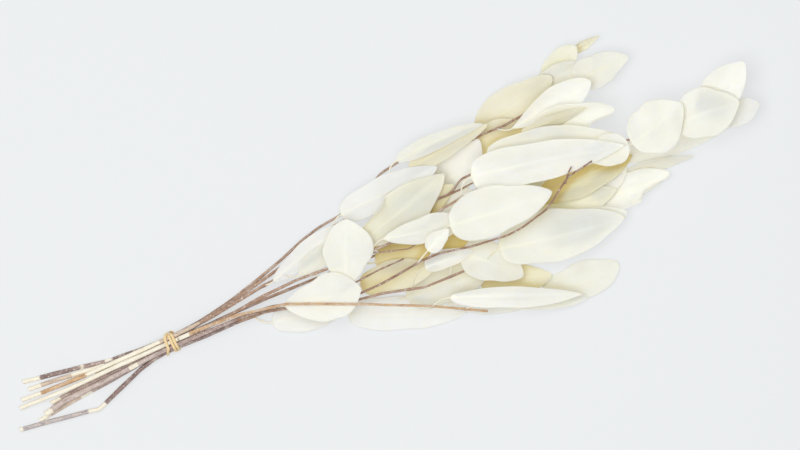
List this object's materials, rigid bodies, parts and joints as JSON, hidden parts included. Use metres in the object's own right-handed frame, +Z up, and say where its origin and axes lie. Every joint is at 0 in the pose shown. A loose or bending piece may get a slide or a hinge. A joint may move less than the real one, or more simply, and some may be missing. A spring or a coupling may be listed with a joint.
{
  "type": "bunch of eucalyptus branches",
  "caption": "Bunch of bleached, dried eucalyptus branches with pale ovate leaves, tied near the cut ends with a rubber band and laid flat.",
  "frame": {"origin": "centre of the bunch's bounding box, on the surface that it lies on", "axes": "+X along the bunch from the cut ends to the leaf tips, +Y across it, +Z up"},
  "size_m": [0.7066, 0.2136, 0.0594],
  "materials": {
    "bleached_eucalyptus": "matt bleached leaf on thin barked stems",
    "natural_rubber": "matt pale yellow rubber"
  },
  "bodies": {
    "root": {"leafy_stem_01": "bleached_eucalyptus", "leafy_stem_02": "bleached_eucalyptus", "leafy_stem_03": "bleached_eucalyptus", "leafy_stem_04": "bleached_eucalyptus", "leafy_stem_05": "bleached_eucalyptus", "leafy_stem_06": "bleached_eucalyptus", "leafy_stem_07": "bleached_eucalyptus", "leafy_stem_08": "bleached_eucalyptus", "leafy_stem_09": "bleached_eucalyptus", "rubber_band": "natural_rubber"}
  },
  "joints": []
}
